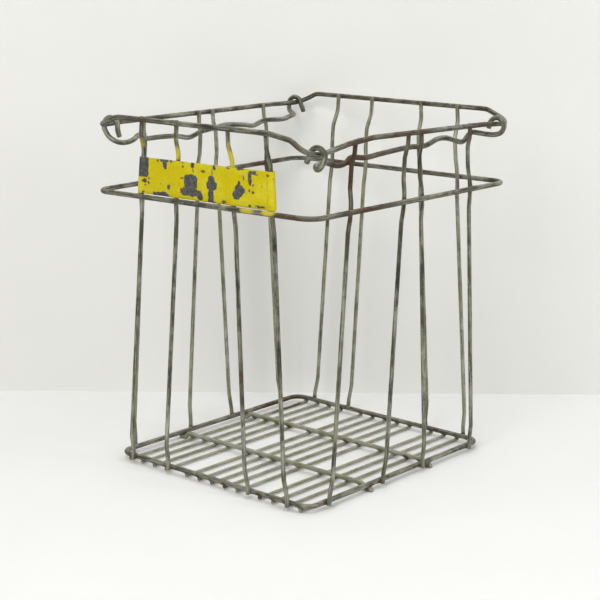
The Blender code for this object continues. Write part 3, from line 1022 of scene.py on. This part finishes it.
@functools.cache
def chipped_paint_group():
    """Gloss paint with stains, a darker rim round each chip, and the sheet showing through."""
    group, given, made = new_group(
        "chipped_paint",
        {
            "Vector": ("Vector",),
            "Float": ("Chip", "Rust", "Stain"),
            "Color": ("Paint", "Faded", "Shaded", "Bare", "Bare Dark", "Rust Colour"),
        },
        {"Color": ("Colour",), "Float": ("Roughness", "Metallic", "Height")},
    )
    place = given["Vector"]
    broad = clouds(group, place, 55.0, 3.0, 0.55)
    middling = clouds(group, place, 260.0, 4.0, 0.65)
    fine = clouds(group, place, 1100.0, 3.0, 0.7)
    torn = clouds(group, place, 480.0, 3.0, 0.6, 0.4)
    ragged = add(group, given["Chip"], stretch(group, fine, 0.3, 0.7, -0.2, 0.2))
    ragged = add(group, ragged, stretch(group, torn, 0.3, 0.7, -0.2, 0.2))
    pinholes = stretch(group, torn, 0.665, 0.7)
    bare = maths(group, "MAXIMUM", stretch(group, ragged, 0.46, 0.54), pinholes)
    rim = stretch(group, ragged, 0.22, 0.47, 0.0, 0.32)
    faded = stretch(group, broad, 0.42, 0.62, 0.0, 0.9)
    yellow = blend(group, faded, given["Paint"], given["Faded"])
    yellow = blend(group, stretch(group, middling, 0.35, 0.6, 0.35, 0.0), yellow, given["Shaded"])
    stain = times(group, stretch(group, middling, 0.54, 0.68), given["Stain"])
    amber = blend(group, 0.35, given["Paint"], given["Rust Colour"])
    yellow = blend(group, stain, yellow, amber)
    yellow = blend(group, rim, yellow, amber)
    steel = blend(group, stretch(group, middling, 0.42, 0.58), given["Bare Dark"], given["Bare"])
    colour = blend(group, bare, yellow, steel)
    rusted = stretch(group, add(group, given["Rust"], times(group, middling, 0.7)), 0.84, 1.0)
    solid = maths(group, "SUBTRACT", 1.0, rusted, True)
    shine = stretch(group, bare, 0.0, 1.0, 0.42, 0.5)
    raised = stretch(group, bare, 0.0, 1.0, 1.0, 0.0)
    results = {
        "Colour": blend(group, times(group, rusted, 0.8), colour, given["Rust Colour"]),
        "Roughness": add(group, shine, times(group, fine, 0.12)),
        "Metallic": times(group, times(group, bare, solid), 0.6),
        "Height": add(group, raised, times(group, fine, 0.25)),
    }
    put_out(group, made, results)
    return group


def new_finish(name):
    """A material with only its Principled shader, and the place on the piece that it reads."""
    made = bpy.data.materials.new(name)
    made.use_nodes = True
    tree = made.node_tree
    place = add_node(tree, "ShaderNodeTexCoord").outputs["Object"]
    return made, tree, tree.nodes["Principled BSDF"].inputs, place


def group_node(tree, group, values):
    return add_node(tree, "ShaderNodeGroup", values, node_tree=group).outputs


def marked(tree, name, output="Fac"):
    return add_node(tree, "ShaderNodeAttribute", attribute_name=name).outputs[output]


def bumpy(tree, shader, height, distance, strength):
    values = {"Height": height, "Distance": distance, "Strength": strength}
    tree.links.new(add_node(tree, "ShaderNodeBump", values).outputs[0], shader["Normal"])


def with_dust_and_painted_light(tree, shader, place, layer, dust_and_top_light, grime, painted_underside_shade):
    """Feeds the shader from a layer of paint or patina with dust and grime over it, and with
    painted light on top faces and painted shade beneath.
    """
    values = {
        "Vector": place,
        "Colour": layer["Colour"],
        "Roughness": layer["Roughness"],
        "Dust And Top Light": dust_and_top_light,
        "Dust And Top Light Colour": DUST_AND_TOP_LIGHT_COLOUR,
        "Grime": grime,
        "Painted Underside Shade": painted_underside_shade,
        "Grime And Shade Colour": GRIME_AND_SHADE_COLOUR,
        "Grime Height": GRIME_HEIGHT * MM,
    }
    dusty = group_node(tree, dust_and_painted_light_group(), values)
    tree.links.new(dusty["Colour"], shader["Base Color"])
    tree.links.new(dusty["Roughness"], shader["Roughness"])
    tree.links.new(layer["Metallic"], shader["Metallic"])


def zinc_finish(context, kind):
    """Weathered zinc for one kind of wire."""
    patch_scale, brightness, olive, rust, dust_and_top_light, grime = ZINC_LOOKS[kind]
    colours = context.scene.milk_crate_colours
    made, tree, shader, place = new_finish(f"zinc_{kind}")
    values = {
        "Vector": place,
        "Run": marked(tree, "run", "Vector"),
        "Patch Scale": patch_scale,
        "Brightness": brightness,
        "Olive": olive,
        "Rust": add(tree, marked(tree, "rust"), rust),
        "Overspray": marked(tree, "overspray"),
        "Weld": marked(tree, "weld"),
        "Light": colours.zinc_light,
        "Dark": colours.zinc_dark,
        "Olive Colour": colours.olive,
        "Rust Colour": colours.rust,
        "Deep Rust": colours.deep_rust,
        "Paint": colours.paint,
    }
    patina = group_node(tree, patina_group(), values)
    with_dust_and_painted_light(tree, shader, place, patina, dust_and_top_light, grime, UNDERSIDE_PAINTED_SHADE)
    bumpy(tree, shader, patina["Height"], 0.35 * MM, 0.7)
    return made


def plate_finish(context):
    """Chipped yellow gloss on sheet steel."""
    colours = context.scene.milk_crate_colours
    made, tree, shader, place = new_finish("chipped_yellow_plate")
    values = {
        "Vector": place,
        "Chip": marked(tree, "chip"),
        "Rust": marked(tree, "rust"),
        "Stain": 0.6,
        "Paint": colours.paint,
        "Faded": colours.faded_paint,
        "Shaded": SHADED_PAINT,
        "Bare": colours.bare_steel,
        "Bare Dark": [c * 0.6 for c in colours.bare_steel],
        "Rust Colour": colours.rust,
    }
    paint = group_node(tree, chipped_paint_group(), values)
    with_dust_and_painted_light(tree, shader, place, paint, 0.1, 0.0, 0.0)
    bumpy(tree, shader, paint["Height"], 0.25 * MM, 0.6)
    shader["Specular IOR Level"].default_value = 0.15
    return made


def studio_finish(name, colour, bump_distance, see_through_back):
    """A pale matt surface; a wall may be open to view from behind."""
    made, tree, shader, place = new_finish(name)
    mottle = stretch(tree, clouds(tree, place, 3.0, 4.0), 0.35, 0.65)
    shade = [c * 0.97 for c in colour]
    tree.links.new(blend(tree, mottle, shade, colour), shader["Base Color"])
    shader["Roughness"].default_value = 0.75
    bumpy(tree, shader, clouds(tree, place, 38.0, 5.0, 0.6), bump_distance * MM, 0.5)
    if see_through_back:
        output = tree.nodes["Material Output"]
        clear = add_node(tree, "ShaderNodeBsdfTransparent").outputs[0]
        behind = add_node(tree, "ShaderNodeNewGeometry").outputs["Backfacing"]
        solid = tree.nodes["Principled BSDF"].outputs[0]
        mixed = add_node(tree, "ShaderNodeMixShader", {0: behind, 1: solid, 2: clear})
        tree.links.new(mixed.outputs[0], output.inputs["Surface"])
    return made


# Operators.


class MILKCRATE_OT_rings(bpy.types.Operator):
    """Builds the rim, the middle hoop and the base frame"""

    bl_idname = "milk_crate.rings"
    bl_label = "Rings"

    def execute(self, context):
        rings = ("top_rim", "middle_hoop", "base_frame")
        finish_welded(context, rings, zinc_finish(context, "rings"))
        return {"FINISHED"}


class MILKCRATE_OT_uprights(bpy.types.Operator):
    """Builds the sixteen uprights"""

    bl_idname = "milk_crate.uprights"
    bl_label = "Uprights"

    def execute(self, context):
        dull = zinc_finish(context, "uprights_dull")
        finish_welded(context, ("upright_front", "upright_right"), dull)
        pale = zinc_finish(context, "uprights_pale")
        finish_welded(context, ("upright_back", "upright_left"), pale)
        return {"FINISHED"}


class MILKCRATE_OT_floor(bpy.types.Operator):
    """Builds the floor wires and the two bars over them"""

    bl_idname = "milk_crate.floor"
    bl_label = "Floor"

    def execute(self, context):
        finish_welded(context, ("floor_wire", "cross_bar"), zinc_finish(context, "floor"))
        return {"FINISHED"}


class MILKCRATE_OT_name_plate(bpy.types.Operator):
    """Builds the folded name plate with its chipped paint"""

    bl_idname = "milk_crate.name_plate"
    bl_label = "Name Plate"

    def execute(self, context):
        mesh = build_plate()
        placed(mesh.name, mesh, plate_finish(context), "name_plate", "crate")
        return {"FINISHED"}


class MILKCRATE_OT_handles(bpy.types.Operator):
    """Builds the two swinging handles"""

    bl_idname = "milk_crate.handles"
    bl_label = "Handles"

    def execute(self, context):
        sizes = context.scene.milk_crate_sizes
        look = zinc_finish(context, "handles")
        bails = (
            ("handle_left", "left_bail", (-1, LEFT_HOOKS, LEFT_HOOK_SHAPES, LEFT_GRIP)),
            ("handle_right", "right_bail", (1, RIGHT_HOOKS, RIGHT_HOOK_SHAPES, RIGHT_GRIP)),
        )
        for node, body, shape in bails:
            line = handle_line(*shape)
            mesh = sweep(f"{node}_wire", line, HANDLE_R, False, [], sizes)
            placed(mesh.name, mesh, look, node, body)
        return {"FINISHED"}


def flat_sheet(name, corners, look):
    """One of the studio's plain surfaces."""
    mesh = bpy.data.meshes.new(name)
    mesh.from_pydata(corners, [], [(0, 1, 2, 3)])
    mesh.materials.append(look)
    obj = bpy.data.objects.new(name, mesh)
    bpy.context.scene.collection.objects.link(obj)


def soft_light(name, place, target, size, power, colour):
    """A rectangular light that faces its target."""
    light = bpy.data.lights.new(name, "AREA")
    light.shape = "RECTANGLE"
    light.size, light.size_y = size
    light.energy = power
    light.color = colour
    obj = bpy.data.objects.new(name, light)
    obj.location = place
    obj.rotation_mode = "QUATERNION"
    obj.rotation_quaternion = (Vector(target) - Vector(place)).to_track_quat("-Z", "Y")
    bpy.context.scene.collection.objects.link(obj)


class MILKCRATE_OT_studio(bpy.types.Operator):
    """Sets up the floor, the wall, the lights and the camera"""

    bl_idname = "milk_crate.studio"
    bl_label = "Studio"

    def execute(self, context):
        scene = context.scene
        colours = scene.milk_crate_colours
        corners = [(x, y, 0) for x, y in corners_of((FLOOR_HALF, FLOOR_HALF))]
        floor = studio_finish("studio_floor", colours.floor, 0.2, False)
        flat_sheet("studio_floor", corners, floor)
        turn = math.radians(CAMERA_AZIMUTH)
        away = Vector((-math.sin(turn), math.cos(turn), 0))
        right = Vector((math.cos(turn), math.sin(turn), 0))
        up = Vector((0, 0, 1))
        low = [away * WALL_DISTANCE + right * side for side in (-WALL_HALF, WALL_HALF)]
        corners = [*low, low[1] + up * WALL_HEIGHT, low[0] + up * WALL_HEIGHT]
        wall = studio_finish("studio_wall", colours.wall, 0.8, True)
        flat_sheet("studio_wall", corners, wall)
        centre = (CAD_BOX[0] + CAD_BOX[1]) / 2
        for name, (across, beyond, height), size, power, colour in LIGHTS:
            place = right * across + away * beyond + up * height
            soft_light(name, place, centre, size, power, colour)
        world = bpy.data.worlds.new("studio_air")
        world.use_nodes = True
        air = world.node_tree.nodes["Background"].inputs
        air["Color"].default_value = AIR_COLOUR
        air["Strength"].default_value = AIR_STRENGTH
        scene.world = world
        scene.view_settings.view_transform = "Standard"
        lens = bpy.data.cameras.new("camera")
        lens.lens = CAMERA_LENS
        camera = bpy.data.objects.new("camera", lens)
        aim = (
            Matrix.Rotation(turn, 4, "Z")
            @ Matrix.Rotation(math.radians(90 - CAMERA_TILT), 4, "X")
            @ Matrix.Rotation(math.radians(CAMERA_ROLL), 4, "Z")
        )
        camera.matrix_world = Matrix.Translation(CAMERA_PLACE) @ aim
        scene.collection.objects.link(camera)
        scene.camera = camera
        return {"FINISHED"}


class MILKCRATE_PT_sidebar(bpy.types.Panel):
    """Lists the pieces of the crate and their sizes and colours"""

    bl_idname = "MILKCRATE_PT_sidebar"
    bl_label = "Milk Crate"
    bl_space_type = "VIEW_3D"
    bl_region_type = "UI"
    bl_category = "Milk Crate"

    def draw(self, context):
        for operator in OPERATORS:
            self.layout.operator(operator.bl_idname)
        for group in (context.scene.milk_crate_sizes, context.scene.milk_crate_colours):
            for name in group.bl_rna.properties.keys():
                if name not in ("rna_type", "name"):
                    self.layout.prop(group, name)


OPERATORS = (
    MILKCRATE_OT_rings,
    MILKCRATE_OT_uprights,
    MILKCRATE_OT_floor,
    MILKCRATE_OT_name_plate,
    MILKCRATE_OT_handles,
    MILKCRATE_OT_studio,
)
CLASSES = (MilkCrateSizes, MilkCrateColours, *OPERATORS, MILKCRATE_PT_sidebar)


def register():
    for made in CLASSES:
        bpy.utils.register_class(made)
    bpy.types.Scene.milk_crate_sizes = PointerProperty(type=MilkCrateSizes)
    bpy.types.Scene.milk_crate_colours = PointerProperty(type=MilkCrateColours)


def unregister():
    del bpy.types.Scene.milk_crate_colours
    del bpy.types.Scene.milk_crate_sizes
    for made in reversed(CLASSES):
        bpy.utils.unregister_class(made)


def main():
    register()
    bpy.ops.milk_crate.rings()
    bpy.ops.milk_crate.uprights()
    bpy.ops.milk_crate.floor()
    bpy.ops.milk_crate.name_plate()
    bpy.ops.milk_crate.handles()
    bpy.ops.milk_crate.studio()


if __name__ == "__main__":
    main()
